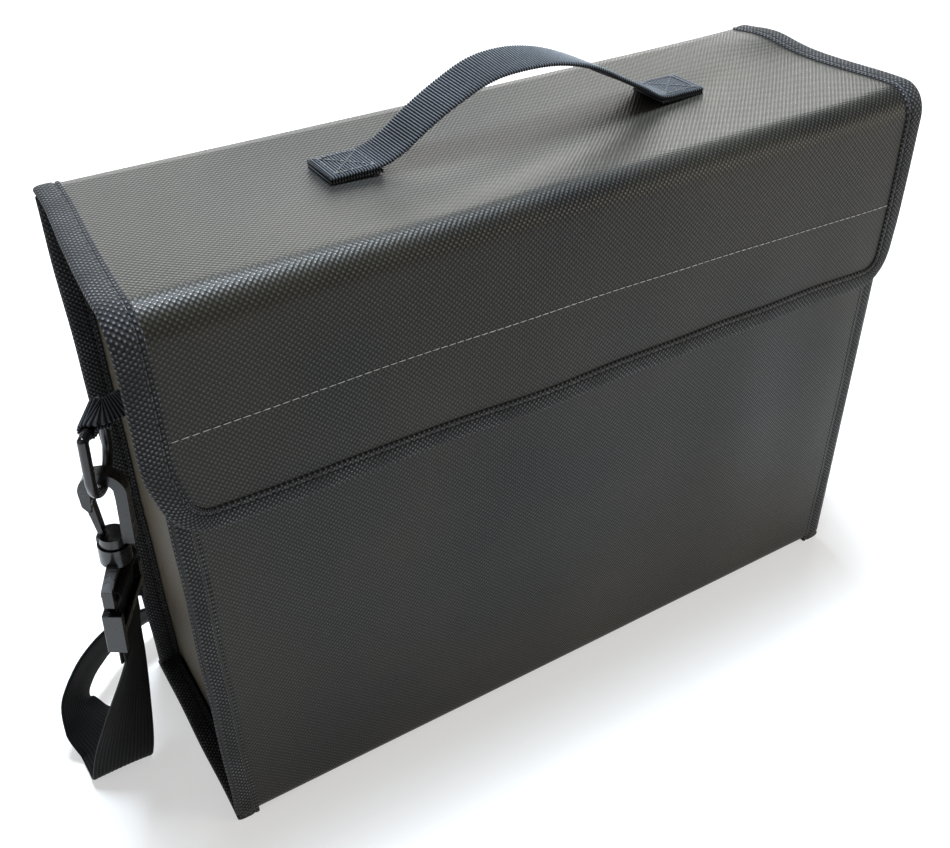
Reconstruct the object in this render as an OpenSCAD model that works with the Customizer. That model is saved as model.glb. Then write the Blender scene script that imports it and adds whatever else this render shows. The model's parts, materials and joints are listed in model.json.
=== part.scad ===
// Lipo safe bag: a fire-resistant cloth bag for batteries, with a lid that folds
// back, a hook-and-loop flap, a carrying handle and a clip-on shoulder strap.
// Millimetres. +X is right, the front faces -Y, +Z is up, and the origin is on the
// floor under the middle of the bag.

/* [Bag] */
// Width between the outer faces of the two side panels
body_w = 380; // [320:5:440]
// Depth from the front panel's outer face to the back panel's outer face
body_d = 124; // [110:2:150]
// Height of the lid's outer face above the floor
body_h = 300; // [270:5:340]
// How far the bound side seams stand out from the side panels
seam_w = 12; // [11:0.5:14]

/* [Cloth] */
// Thickness of the coated outer cloth
panel_t = 1.6; // [1.2:0.1:1.8]
// Thickness of the inner lining
lining_t = 0.8; // [0.6:0.1:1]
// Thickness of one layer of binding tape
tape_t = 0.8; // [0.6:0.1:0.8]
// Width of the binding tape seen on the cloth
tape_w = 10.5; // [8:0.5:10.5]
// Gap between pieces that move past each other
play = 0.3; // [0.25:0.05:0.4]

/* [Lid and flap] */
// Outer radius of the soft bend between the lid and the flap
bend_r = 14; // [13:0.5:16]
// Drop from the lid's face to the flap's lower edge
flap_drop = 105; // [80:1:130]
// Radius of the flap's two lower corners
flap_corner_r = 18; // [10:1:24]
// Height of the hook strip and of the loop strip
strip_h = 38; // [20:1:44]
// Length of one stitch
stitch_l = 3.2; // [2:0.1:4]
// Distance from one stitch to the next
stitch_pitch = 4.4; // [4.2:0.1:6]

/* [Handle] */
// Width of the handle webbing
handle_w = 25; // [20:1:30]
// Length over both sewn ends
handle_span = 209; // [160:1:240]
// Length of each sewn end
handle_end = 27; // [20:1:32]
// Height of the arch above the lid
handle_rise = 31; // [28:1:50]
// Sideways place of the handle's middle
handle_x = 12; // [-10:1:14]
// Front-to-back place of the handle's middle
handle_y = 13; // [-10:1:20]

/* [Strap hardware] */
// Width of the shoulder strap's webbing
strap_w = 32; // [30:1:34]
// Height of the ring's bar above the floor
ring_z = 221; // [212:1:227]
// Outer width of the D-ring
ring_w = 34; // [30:1:38]
// Outer height of the D-ring
ring_h = 40; // [36:1:42]
// Turn of the hanging hardware about the upright axis, in degrees
hang_turn = 30; // [0:1:35]
// Outward lean of the hanging hardware, in degrees
hang_lean = 4; // [0:0.5:6]

/* [Hidden] */
$fn = 48;

cloth = [0.23, 0.24, 0.24];
inner_cloth = [0.36, 0.37, 0.36];
tape = [0.10, 0.10, 0.10];
webbing = [0.11, 0.11, 0.11];
plastic = [0.07, 0.07, 0.07];
thread = [0.55, 0.56, 0.56];
nylon = [0.16, 0.16, 0.16];

// Box: the flap stands 5 mm proud of the front, so the box sits 2 mm back
half_w = body_w / 2;
seam_x = half_w + seam_w;
front_y = -body_d / 2 + 2;
back_y = body_d / 2 + 2;
wall_t = panel_t + lining_t;
inner_x = half_w - wall_t;
floor_z = wall_t;
seam_t = 2 * panel_t + 2 * tape_t;

// Lid and flap
flap_y = front_y - 5;
bend_y = flap_y + bend_r;
bend_z = body_h - bend_r;
flap_top = bend_z - play;
flap_z = body_h - flap_drop;
flap_in_y = flap_y + wall_t;
lid_under = body_h - wall_t;
side_top = lid_under - 2 * tape_t;
front_top = bend_z + 4;
back_top = lid_under - play;
strip_gap = front_y - flap_in_y - play;
loop_t = strip_gap / 2 - 0.05;
hook_t = strip_gap / 2 + 0.05;
strip_z = flap_z + 12;

// Handle
handle_t = 2;
fold_t = 2.6;
lean_z = body_h + 8;
arch_a = handle_span / 2 - handle_end - 3.5;
arch_b = handle_rise - 8 - handle_t / 2;
lean_stop = 37;

// Ring, hook, swivel and slider, measured down from the ring's bar
bar_r = 2.4;
ring_r = ring_w / 2 - bar_r;
ring_drop = ring_h - 2 * bar_r;
ring_leg = ring_drop - ring_r;
ring_at = [-half_w - 23, -2, ring_z];
tab_w = 20;
tab_shift = 2;
web_t = 1.3;
hook_in_r = 5.4;
hook_t_bar = 5.4;
hook_thick = 7;
hook_mid = -ring_drop + bar_r + play + 0.7 - hook_in_r;
hook_base = hook_mid - 26;
hub_z = hook_base - 5;
pin_r = 3;
collar_top = hub_z - play;
collar_h = 10;
frame_top = collar_top - collar_h + 2;
slot_w = strap_w + 2;
frame_w = slot_w + 8;
frame_h = 14;
frame_bar = 4;
strap_bar_z = frame_top - frame_h + frame_bar / 2;
strap_layer = 1.7;
end_len = 45;
end_z = strap_bar_z - end_len;
slider_h = 24;
slider_z = strap_bar_z - 8 - slider_h;

// Route of the free strap's left half, from the left strap end to the middle behind
// the bag: each row is a point on its middle line, then the direction across it.
strap_t = 2;
half_route = [
    [[-221, 2.5, 85.5], [-0.5, -0.87, 0]],
    [[-227, 3.5, 60], [-0.75, -0.66, 0]],
    [[-234, 2, 36], [-0.92, -0.38, 0]],
    [[-240.5, 0, 14], [-1, -0.05, 0]],
    [[-243, 2.5, 4], [-1, 0, 0]],
    [[-243.5, 12, 1.5], [-1, 0, 0]],
    [[-245, 24, 3.5], [-0.96, -0.25, 0.05]],
    [[-251, 35, 12], [-0.78, -0.55, 0.3]],
    [[-252, 43, 22], [-0.5, -0.6, 0.6]],
    [[-243, 52, 30], [-0.3, -0.5, 0.8]],
    [[-229, 62, 33], [-0.15, -0.45, 0.88]],
    [[-213, 72, 30], [-0.05, -0.5, 0.86]],
    [[-190, 82, 25], [0, -0.6, 0.8]],
    [[-150, 98, 20], [0.05, -0.5, 0.86]],
    [[-100, 120, 18], [0.05, -0.3, 0.95]],
    [[-50, 136, 17.5], [0.03, -0.2, 0.98]],
    [[0, 142, 17.5], [0, -0.15, 0.99]]
];
rings_per_leg = 2;

// ---------------------------------------------------------------- helpers

// A box from one corner to the opposite one
module span(a, b) {
    translate(a) cube(b - a);
}

// Carries a flat outline, drawn as depth and height, along the width
module along_x(x0, x1) {
    translate([x0, 0, 0]) rotate([90, 0, 90]) linear_extrude(x1 - x0) children();
}

// Carries a flat outline, drawn as width and height, towards the back
module along_y(y0, y1) {
    translate([0, y1, 0]) rotate([90, 0, 0]) linear_extrude(y1 - y0) children();
}

// Puts a piece made for the left side on the right side
module on_side(s) {
    if (s > 0) mirror([1, 0, 0]) children();
    else children();
}

// The hanging hardware's own frame: the ring's bar lies along Y, +X points to the bag
module hang(s) {
    on_side(s) translate(ring_at) rotate([0, 0, -hang_turn])
        rotate([0, hang_lean, 0]) children();
}

// A row of stitches from one point to another on a face; n is the face's normal
module stitch_row(a, b, n) {
    long = norm(b - a);
    count = floor((long + stitch_pitch - stitch_l) / stitch_pitch);
    u = (b - a) / long;
    start = (long - (count - 1) * stitch_pitch) / 2;
    v = cross(n, u);
    for (i = [0 : count - 1]) {
        p = a + u * (start + i * stitch_pitch);
        multmatrix([
            [u[0], v[0], n[0], p[0]],
            [u[1], v[1], n[1], p[1]],
            [u[2], v[2], n[2], p[2]],
            [0, 0, 0, 1]
        ]) translate([-stitch_l / 2, -0.35, 0]) cube([stitch_l, 0.7, 0.4]);
    }
}

// ---------------------------------------------------------------- box of the bag

// Front or back panel: a sheet whose side edges step in by one tape layer
module upright_panel(y, inward, top, seam_top) {
    y_in = y + inward * panel_t;
    y_step = y + inward * tape_t;
    span([-half_w - 0.6, min(y, y_in), panel_t], [half_w + 0.6, max(y, y_in), top]);
    for (s = [-1, 1]) {
        x0 = s * (half_w - 0.6);
        x1 = s * seam_x;
        span([min(x0, x1), min(y_step, y_step + inward * panel_t), seam_t],
             [max(x0, x1), max(y_step, y_step + inward * panel_t), seam_top]);
    }
}

module front_panel() {
    color(cloth) upright_panel(front_y, 1, front_top - tape_t, front_top - tape_t);
}

module back_panel() {
    color(cloth) upright_panel(back_y, -1, back_top, side_top - tape_t);
}

module bottom_panel() {
    color(cloth) {
        span([-half_w - 0.6, front_y, 0], [half_w + 0.6, back_y, panel_t]);
        for (s = [-1, 1]) {
            x0 = s * (half_w - 0.6);
            x1 = s * seam_x;
            span([min(x0, x1), front_y, tape_t], [max(x0, x1), back_y, tape_t + panel_t]);
        }
    }
}

// Side panel: a sheet with its front, back and lower edges turned outwards
module side_panel(s) {
    y0 = front_y + tape_t + panel_t;
    y1 = back_y - tape_t - panel_t;
    z0 = tape_t + panel_t;
    color(cloth) on_side(s) {
        along_x(-half_w, -half_w + panel_t) polygon([
            [y0, z0], [y1, z0], [y1, side_top - tape_t],
            [y0 + 9, side_top - tape_t], [y0, front_top - tape_t]
        ]);
        span([-seam_x, y0, seam_t], [-half_w + 0.4, y0 + panel_t, front_top - tape_t]);
        span([-seam_x, y1 - panel_t, seam_t], [-half_w + 0.4, y1, side_top - tape_t]);
        span([-seam_x, front_y, z0], [-half_w, back_y, z0 + panel_t]);
        span([-half_w - 0.2, y0, z0], [-half_w + 0.4, y1, z0 + panel_t]);
    }
}

module left_side_panel() side_panel(-1);
module right_side_panel() side_panel(1);

module front_lining() {
    color(inner_cloth) span([-inner_x, front_y + panel_t, panel_t],
                            [inner_x, front_y + wall_t, front_top - tape_t]);
}

module back_lining() {
    color(inner_cloth) span([-inner_x, back_y - wall_t, panel_t],
                            [inner_x, back_y - panel_t, back_top]);
}

module bottom_lining() {
    color(inner_cloth) span([-inner_x, front_y + wall_t, panel_t],
                            [inner_x, back_y - wall_t, floor_z]);
}

module side_lining(s) {
    color(inner_cloth) on_side(s) along_x(-half_w + panel_t, -inner_x) polygon([
        [front_y + wall_t, floor_z], [back_y - wall_t, floor_z],
        [back_y - wall_t, side_top - tape_t], [front_y + wall_t + 9, side_top - tape_t],
        [front_y + wall_t, front_top - tape_t]
    ]);
}

module left_lining() side_lining(-1);
module right_lining() side_lining(1);

// Tape folded over a seam: an outline with a slot for the seam's two layers
module seam_tape() {
    difference() {
        translate([-seam_x - tape_t, 0]) square([tape_w + tape_t, seam_t]);
        translate([-seam_x, tape_t]) square([tape_w + 1, 2 * panel_t]);
    }
}

module front_binding(s) {
    color(tape) on_side(s) translate([0, front_y, seam_t])
        linear_extrude(front_top - seam_t) seam_tape();
}

module back_binding(s) {
    color(tape) on_side(s) translate([0, back_y - seam_t, seam_t])
        linear_extrude(side_top - seam_t) seam_tape();
}

module bottom_binding(s) {
    color(tape) on_side(s) along_y(front_y, back_y) seam_tape();
}

module front_left_binding() front_binding(-1);
module front_right_binding() front_binding(1);
module back_left_binding() back_binding(-1);
module back_right_binding() back_binding(1);
module bottom_left_binding() bottom_binding(-1);
module bottom_right_binding() bottom_binding(1);

// Tape folded over the top edge of a wall, with the wall's outer face at 0
module mouth_tape(top) {
    difference() {
        translate([-tape_t, top - tape_w]) square([wall_t + 2 * tape_t, tape_w]);
        translate([0, top - tape_w - 1]) square([wall_t, tape_w + 1 - tape_t]);
    }
}

module front_mouth_binding() {
    color(tape) along_x(-inner_x + 1, inner_x - 1)
        translate([front_y, 0]) mouth_tape(front_top);
}

module side_mouth_binding(s) {
    color(tape) on_side(s) along_y(front_y + wall_t + 10.5, back_y - wall_t - 2)
        translate([-half_w, 0]) mouth_tape(side_top);
}

module left_mouth_binding() side_mouth_binding(-1);
module right_mouth_binding() side_mouth_binding(1);

// Soft half of the fastener, sewn on the front panel; its stitches sit in two shallow channels
module loop_strip() {
    x = half_w - 18;
    y = front_y - loop_t;
    color(nylon) difference() {
        span([-x, y, strip_z], [x, front_y, strip_z + strip_h]);
        for (z = [strip_z + 2, strip_z + strip_h - 2])
            span([-x + 1, y - 1, z - 0.6], [x - 1, y + 0.5, z + 0.6]);
    }
}

module loop_strip_stitching() {
    y = front_y - loop_t + 0.5;
    x = half_w - 20;
    n = [0, -1, 0];
    color(thread) {
        stitch_row([-x, y, strip_z + 2], [x, y, strip_z + 2], n);
        stitch_row([-x, y, strip_z + strip_h - 2], [x, y, strip_z + strip_h - 2], n);
    }
}

// ---------------------------------------------------------------- lid

// Outline of a layer of the lid, between two distances under its face
module lid_outline(d0, d1) {
    translate([bend_y, body_h - d1]) square([back_y - bend_y, d1 - d0]);
    translate([bend_y, bend_z]) intersection() {
        difference() {
            circle(bend_r - d0);
            circle(bend_r - d1);
        }
        translate([-2 * bend_r, 0]) square(2 * bend_r);
    }
}

module lid_panel() {
    color(cloth) along_x(-seam_x, seam_x) lid_outline(0, panel_t);
}

module lid_lining() {
    color(inner_cloth) along_x(-seam_x, seam_x) lid_outline(panel_t, wall_t);
}

module lid_binding(s) {
    color(tape) on_side(s) {
        along_x(-seam_x - tape_t, -seam_x) lid_outline(-tape_t, wall_t + tape_t);
        along_x(-seam_x - 0.01, -seam_x + tape_w) lid_outline(-tape_t, 0);
        along_x(-seam_x - 0.01, -seam_x + tape_w) lid_outline(wall_t, wall_t + tape_t);
    }
}

module lid_left_binding() lid_binding(-1);
module lid_right_binding() lid_binding(1);

// ---------------------------------------------------------------- flap

// Outline of the flap, grown by g: square at the top, round at the lower corners
module flap_outline(g) {
    w = seam_x + g;
    r = flap_corner_r + g;
    z0 = flap_z - g;
    translate([-w, z0 + r]) square([2 * w, flap_top - z0 - r]);
    translate([-w + r, z0]) square([2 * (w - r), r + 1]);
    for (s = [-1, 1]) translate([s * (w - r), z0 + r]) circle(r);
}

module flap_panel() {
    color(cloth) along_y(flap_y, flap_y + panel_t) flap_outline(0);
}

module flap_lining() {
    color(inner_cloth) along_y(flap_y + panel_t, flap_in_y) flap_outline(0);
}

module flap_binding() {
    color(tape) difference() {
        along_y(flap_y - tape_t, flap_in_y + tape_t) flap_outline(tape_t);
        along_y(flap_y, flap_in_y) flap_outline(0);
        along_y(flap_y - 2, flap_in_y + 2) flap_outline(-tape_w);
        span([-seam_x + tape_w, flap_y - 2, flap_top - 1],
             [seam_x - tape_w, flap_in_y + 2, flap_top + 1]);
    }
}

// Stiff half of the fastener, sewn inside the flap
module hook_strip() {
    color(nylon) span([-half_w + 19, flap_in_y, strip_z + 1],
                      [half_w - 19, flap_in_y + hook_t, strip_z + strip_h]);
}

module flap_stitching() {
    z = strip_z + strip_h - 2;
    color(thread) stitch_row([-half_w + 8, flap_y, z], [half_w - 8, flap_y, z], [0, -1, 0]);
}

// ---------------------------------------------------------------- handle

// One sewn end: the webbing folded under itself, then rising towards the arch
module handle_sewn_end(s) {
    x0 = handle_span / 2;
    x1 = x0 - handle_end;
    color(webbing) translate([handle_x, 0, body_h]) mirror([s > 0 ? 1 : 0, 0, 0])
        along_y(handle_y - handle_w / 2, handle_y + handle_w / 2) polygon([
            [-x0, 0], [-x1, 0], [-x1 + 4.5, 8 - play], [-x1 + 2.5, 8 - play],
            [-x1 - 2, fold_t], [-x0, fold_t]
        ]);
}

module handle_left_end() handle_sewn_end(-1);
module handle_right_end() handle_sewn_end(1);

// Arch of the handle, with both feet pointed so that it can lean either way
module handle_arch() {
    steps = 36;
    function arc(a, b) = [
        for (i = [0 : steps]) [-a * cos(180 * i / steps), b * sin(180 * i / steps)]
    ];
    outer = arc(arch_a + handle_t / 2, arch_b + handle_t / 2);
    inner = arc(arch_a - handle_t / 2, arch_b - handle_t / 2);
    back = [for (i = [steps : -1 : 0]) inner[i]];
    far = 2 * handle_w;
    color(webbing) translate([handle_x, handle_y, lean_z]) difference() {
        along_y(-handle_w / 2, handle_w / 2) polygon(concat(outer, back));
        for (t = [lean_stop, -lean_stop]) rotate([t, 0, 0])
            translate([-handle_span, t > 0 ? 0 : -far, -far])
                cube([2 * handle_span, far, far]);
    }
}

// A square of stitches with a cross in it, on each sewn end
module handle_stitching() {
    a = handle_end - 7;
    b = handle_w - 6;
    z = body_h + fold_t;
    up = [0, 0, 1];
    color(thread) for (s = [-1, 1]) {
        cx = handle_x + s * (handle_span - handle_end) / 2;
        p = [for (k = [[-1, -1], [1, -1], [1, 1], [-1, 1]])
            [cx + k[0] * a / 2, handle_y + k[1] * b / 2, z]];
        for (i = [0 : 3]) stitch_row(p[i], p[(i + 1) % 4], up);
        m = (p[0] + p[2]) / 2;
        for (q = p) stitch_row(m + (q - m) * 0.12, m + (q - m) * 0.9, up);
    }
}

// ---------------------------------------------------------------- strap hardware

// Webbing tab: sewn to the side panel, out over the side and round the ring's bar
module ring_tab(s) {
    y0 = tab_shift - tab_w / 2;
    top = ring_z + 6;
    side_y = ring_at[1] + 2 - tab_w / 2;
    r_in = bar_r + play;
    r_out = r_in + web_t;

    // Knee of the webbing, half way out, drawn inset by e
    module knee(e) {
        on_side(s) translate([ring_at[0] + 9 + e, side_y + e, top - 3 + e])
            cube([2 - 2 * e, tab_w - 2 * e, 2.6 - 2 * e]);
    }

    color(webbing) {
        hang(s) rotate([-90, 0, 0]) translate([0, 0, y0]) difference() {
            cylinder(r = r_out, h = tab_w);
            translate([0, 0, -1]) cylinder(r = r_in, h = tab_w + 2);
        }
        hull() {
            hang(s) translate([-1.2, y0 + 0.1, r_in + 0.5]) cube([2.4, tab_w - 0.2, 1.8]);
            knee(0);
        }
        hull() {
            knee(0.1);
            on_side(s) translate([-half_w - 2.5, side_y + 0.1, top - 1])
                cube([2.4, tab_w - 0.2, 2.6]);
        }
        on_side(s) translate([-half_w - 2.6, side_y, top]) cube([2.6, tab_w, 28]);
    }
}

module left_ring_tab() ring_tab(-1);
module right_ring_tab() ring_tab(1);

module tab_stitching(s) {
    x = -half_w - 2.6;
    y = ring_at[1] + 2;
    z = ring_z + 6;
    a = tab_w / 2 - 3;
    n = [-1, 0, 0];
    p = [[x, y - a, z + 6], [x, y + a, z + 6], [x, y + a, z + 25], [x, y - a, z + 25]];
    m = (p[0] + p[2]) / 2;
    color(thread) on_side(s) {
        for (i = [0 : 3]) stitch_row(p[i], p[(i + 1) % 4], n);
        for (q = p) stitch_row(m + (q - m) * 0.14, m + (q - m) * 0.88, n);
    }
}

module left_tab_stitching() tab_stitching(-1);
module right_tab_stitching() tab_stitching(1);

// D-ring: a straight bar, two legs and a round lower limb, all of round section
module d_ring(s) {
    color(plastic) hang(s) rotate([90, 0, 90]) {
        translate([-ring_r, 0, 0]) rotate([0, 90, 0]) cylinder(r = bar_r, h = 2 * ring_r);
        for (t = [-1, 1]) {
            translate([t * ring_r, 0, 0]) sphere(bar_r);
            translate([t * ring_r, 0, 0]) rotate([90, 0, 0]) cylinder(r = bar_r, h = ring_leg);
        }
        translate([0, -ring_leg, 0]) rotate([0, 0, 180]) rotate_extrude(angle = 180)
            translate([ring_r, 0]) circle(bar_r);
    }
}

module left_d_ring() d_ring(-1);
module right_d_ring() d_ring(1);

// Snap hook: a J of moulded plastic on a round hub, with the swivel's pin under it
module snap_hook(s) {
    r0 = hook_in_r;
    r1 = hook_in_r + hook_t_bar;
    color(plastic) hang(s) {
        along_y(-hook_thick / 2, hook_thick / 2) {
            translate([0, hook_mid]) intersection() {
                difference() {
                    circle(r1);
                    circle(r0);
                }
                translate([-2 * r1, 0]) square([4 * r1, 2 * r1]);
            }
            translate([r0, hook_base - 1]) square([hook_t_bar, hook_mid - hook_base + 1.1]);
            polygon([
                [-r1, hook_mid + 0.1], [-r0, hook_mid + 0.1],
                [-r0 - 0.6, hook_mid - 9], [-r0 - 2.2, hook_mid - 11], [-r1 + 0.8, hook_mid - 8]
            ]);
            translate([-6.5, hook_base - 3]) square([6.5 + r1, 3.2]);
        }
        translate([0, 0, hub_z]) cylinder(r = 6.5, h = hook_base - hub_z + 0.2);
        translate([0, 0, hub_z - collar_h + 2.5]) cylinder(r = pin_r, h = collar_h);
        translate([0, 0, hub_z - collar_h + 1.5]) cylinder(r = pin_r + 1.5, h = 2.5);
    }
}

module left_snap_hook() snap_hook(-1);
module right_snap_hook() snap_hook(1);

// Gate: a springy leaf that closes the hook's mouth from inside its tip
module hook_gate(s) {
    color(plastic) hang(s) along_y(-2.5, 2.5) polygon([
        [-5.5, hook_base + 1.4], [-4.7, hook_base + 0.45], [-3.9, hook_base + 0.45],
        [-3, hook_base + 1.4], [-5, hook_mid - 9], [-5.4, hook_mid - 6],
        [-6, hook_mid - 11.5], [-8.2, hook_mid - 11.8]
    ]);
}

module left_hook_gate() hook_gate(-1);
module right_hook_gate() hook_gate(1);

// Swivel base: a collar round the hook's pin and a frame that holds the strap
module swivel_base(s) {
    low = frame_top - frame_h;
    color(plastic) hang(s) difference() {
        union() {
            translate([0, 0, collar_top - collar_h]) cylinder(r = 7.5, h = collar_h);
            along_x(-2.5, 2.5) polygon([
                [-8, frame_top], [8, frame_top], [frame_w / 2, frame_top - frame_bar],
                [frame_w / 2, low], [-frame_w / 2, low], [-frame_w / 2, frame_top - frame_bar]
            ]);
        }
        translate([0, 0, collar_top - collar_h - 5])
            cylinder(r = pin_r + 0.08, h = collar_h + 10);
        translate([0, 0, hub_z - collar_h + 1.2])
            cylinder(r = pin_r + 1.5 + play, h = 3.1);
        along_x(-5, 5) translate([-slot_w / 2, low + frame_bar])
            square([slot_w, frame_h - 2 * frame_bar - 0.4]);
    }
}

module left_swivel_base() swivel_base(-1);
module right_swivel_base() swivel_base(1);

// Strap end: round the frame's lower bar and back down, two layers thick
module strap_end(s) {
    r = frame_bar / 2 + 1.3;
    color(webbing) hang(s) along_y(-strap_w / 2, strap_w / 2) difference() {
        union() {
            translate([0, strap_bar_z]) circle(r + strap_layer);
            translate([-strap_layer, end_z]) square([2 * strap_layer, end_len]);
        }
        translate([0, strap_bar_z]) circle(r);
    }
}

module left_strap_end() strap_end(-1);
module right_strap_end() strap_end(1);

// Slider: two outer bars in front of the strap and a middle bar behind it
module strap_slider(s) {
    gap = strap_layer + play;
    bar = 2.6;
    rail = frame_w / 2 - slot_w / 2 - 0.5;
    color(plastic) hang(s) translate([0, 0, slider_z]) {
        for (t = [-1, 1]) translate([-gap - bar, t > 0 ? slot_w / 2 : -slot_w / 2 - rail, 0])
            cube([2 * (gap + bar), rail, slider_h]);
        for (z = [0, slider_h - 5]) translate([-gap - bar, -slot_w / 2 - 0.5, z])
            cube([bar, slot_w + 1, 5]);
        translate([gap, -slot_w / 2 - 0.5, slider_h / 2 - 2.5]) cube([bar, slot_w + 1, 5]);
    }
}

module left_strap_slider() strap_slider(-1);
module right_strap_slider() strap_slider(1);

// ---------------------------------------------------------------- shoulder strap

function unit(v) = v / norm(v);
function flip(v) = [-v[0], v[1], v[2]];
route = concat(
    half_route,
    [for (i = [len(half_route) - 2 : -1 : 0]) [flip(half_route[i][0]), flip(half_route[i][1])]]
);

// A smooth curve through the route, for its points (k = 0) or its cross directions (k = 1)
function at(i, k) = route[max(0, min(len(route) - 1, i))][k];
function smooth(i, t, k) = 0.5 * (
    2 * at(i, k) + (at(i + 1, k) - at(i - 1, k)) * t
    + (2 * at(i - 1, k) - 5 * at(i, k) + 4 * at(i + 1, k) - at(i + 2, k)) * t * t
    + (3 * at(i, k) - at(i - 1, k) - 3 * at(i + 1, k) + at(i + 2, k)) * t * t * t
);
stations = [
    for (i = [0 : len(route) - 2], j = [0 : rings_per_leg - 1]) [i, j / rings_per_leg],
    [len(route) - 2, 1]
];
mid_line = [for (q = stations) smooth(q[0], q[1], 0)];
across = [for (q = stations) unit(smooth(q[0], q[1], 1))];

// One ring: a flat eight-sided section, square to the way the strap runs
function strap_ring(i) =
    let (
        last = len(mid_line) - 1,
        run = unit(mid_line[min(last, i + 1)] - mid_line[max(0, i - 1)]),
        side = unit(across[i] - run * (across[i] * run)),
        up = cross(run, side),
        w = strap_w / 2,
        t = strap_t / 2
    )
    [for (p = [[-w, -0.4 * t], [-w + 1, -t], [w - 1, -t], [w, -0.4 * t],
               [w, 0.4 * t], [w - 1, t], [-w + 1, t], [-w, 0.4 * t]])
        mid_line[i] + side * p[0] + up * p[1]];

module shoulder_strap() {
    n = len(mid_line);
    points = [for (i = [0 : n - 1]) each strap_ring(i)];
    walls = [for (i = [0 : n - 2], j = [0 : 7])
        let (a = i * 8 + j, b = i * 8 + (j + 1) % 8)
        each [[a, b, b + 8], [a, b + 8, a + 8]]];
    caps = [[for (j = [7 : -1 : 0]) j], [for (j = [0 : 7]) (n - 1) * 8 + j]];
    color(webbing) polyhedron(points, concat(walls, caps));
}

// ---------------------------------------------------------------- what is drawn

front_panel();
bottom_panel();
back_panel();
left_side_panel();
right_side_panel();
front_lining();
bottom_lining();
back_lining();
left_lining();
right_lining();
front_left_binding();
front_right_binding();
back_left_binding();
back_right_binding();
bottom_left_binding();
bottom_right_binding();
front_mouth_binding();
left_mouth_binding();
right_mouth_binding();
loop_strip();
loop_strip_stitching();
lid_panel();
lid_lining();
lid_left_binding();
lid_right_binding();
flap_panel();
flap_lining();
flap_binding();
hook_strip();
flap_stitching();
handle_left_end();
handle_right_end();
handle_arch();
handle_stitching();
left_ring_tab();
right_ring_tab();
left_tab_stitching();
right_tab_stitching();
left_d_ring();
right_d_ring();
left_snap_hook();
right_snap_hook();
left_hook_gate();
right_hook_gate();
left_swivel_base();
right_swivel_base();
left_strap_end();
right_strap_end();
left_strap_slider();
right_strap_slider();
shoulder_strap();
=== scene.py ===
import json
import math

import bmesh
import bpy
import numpy as np
from mathutils import Matrix, Vector


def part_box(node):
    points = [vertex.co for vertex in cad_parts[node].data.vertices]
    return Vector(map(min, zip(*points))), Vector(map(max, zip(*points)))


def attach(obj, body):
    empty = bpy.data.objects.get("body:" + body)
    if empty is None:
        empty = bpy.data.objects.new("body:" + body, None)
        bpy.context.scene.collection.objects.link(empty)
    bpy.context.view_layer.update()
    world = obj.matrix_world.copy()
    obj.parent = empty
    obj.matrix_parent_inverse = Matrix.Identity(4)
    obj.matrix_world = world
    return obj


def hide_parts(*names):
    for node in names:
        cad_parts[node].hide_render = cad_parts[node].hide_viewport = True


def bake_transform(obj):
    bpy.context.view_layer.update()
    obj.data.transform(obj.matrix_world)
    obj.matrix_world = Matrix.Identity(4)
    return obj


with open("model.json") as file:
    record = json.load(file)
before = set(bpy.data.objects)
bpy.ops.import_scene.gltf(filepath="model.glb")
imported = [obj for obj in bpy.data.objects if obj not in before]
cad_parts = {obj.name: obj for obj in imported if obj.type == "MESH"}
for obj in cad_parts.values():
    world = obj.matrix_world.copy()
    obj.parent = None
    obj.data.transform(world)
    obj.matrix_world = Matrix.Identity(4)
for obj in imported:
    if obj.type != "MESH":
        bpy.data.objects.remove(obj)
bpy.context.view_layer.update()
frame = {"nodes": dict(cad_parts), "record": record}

# ------------------------------------------------------------------ sizes, in metres

MM = 0.001


def box(node):
    """Lowest and highest corner of a CAD node."""
    low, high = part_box(node)
    return np.array(low), np.array(high)


SEAM_X, BACK_Y, TOP_Z = box("lid_panel")[1]
FLAP_Y, FLAP_Z = box("flap_panel")[0][1:]
FRONT_Y = box("front_panel")[0][1]
FRONT_TOP = box("front_mouth_binding")[1][2]
SIDE_TOP = box("left_mouth_binding")[1][2]
WALL_X = box("front_lining")[1][0] + 2.4 * MM
BEND_R = box("lid_left_binding")[1][2] - box("lid_left_binding")[0][2] - 0.8 * MM
BEND_Y = FLAP_Y + BEND_R
BEND_Z = TOP_Z - BEND_R
STRIP_LO, STRIP_HI = box("loop_strip")
CLOTH_T = 1.3 * MM
LINING_T = 0.8 * MM
TAPE_T = 0.8 * MM
TAPE_W = 11 * MM
TAPE_ROW = 2.6 * MM
EDGE_CORE = 2.4 * MM
SEAM_CORE = 3.2 * MM
CORNER_R = 18 * MM
HANDLE_W = 25 * MM
RIB = 1.4 * MM
STRAP_W = 32 * MM
STRAP_T = 1.9 * MM
TAB_W = 20 * MM
JOINTS = {j["name"]: j for j in frame["record"]["behaviour"]["joints"]}

# ------------------------------------------------------------------ camera

CAMERA_AT = (-0.2690, -0.4121, 0.4954)
CAMERA_AZIMUTH = -30.87
CAMERA_ELEVATION = 36.26
CAMERA_ROLL = -1.0
CAMERA_LENS = 42.0


def make_camera():
    az, el = math.radians(CAMERA_AZIMUTH), math.radians(CAMERA_ELEVATION)
    back = Vector((math.sin(az) * math.cos(el), -math.cos(az) * math.cos(el), math.sin(el)))
    right = Vector((math.cos(az), math.sin(az), 0))
    right.rotate(Matrix.Rotation(math.radians(CAMERA_ROLL), 3, back))
    up = back.cross(right)
    data = bpy.data.cameras.new("camera")
    data.lens = CAMERA_LENS
    data.sensor_width = 36
    data.clip_start = 0.01
    camera = bpy.data.objects.new("camera", data)
    turn = Matrix((right, up, back)).transposed().to_4x4()
    camera.matrix_world = Matrix.Translation(CAMERA_AT) @ turn
    bpy.context.collection.objects.link(camera)
    bpy.context.scene.camera = camera


make_camera()

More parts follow.
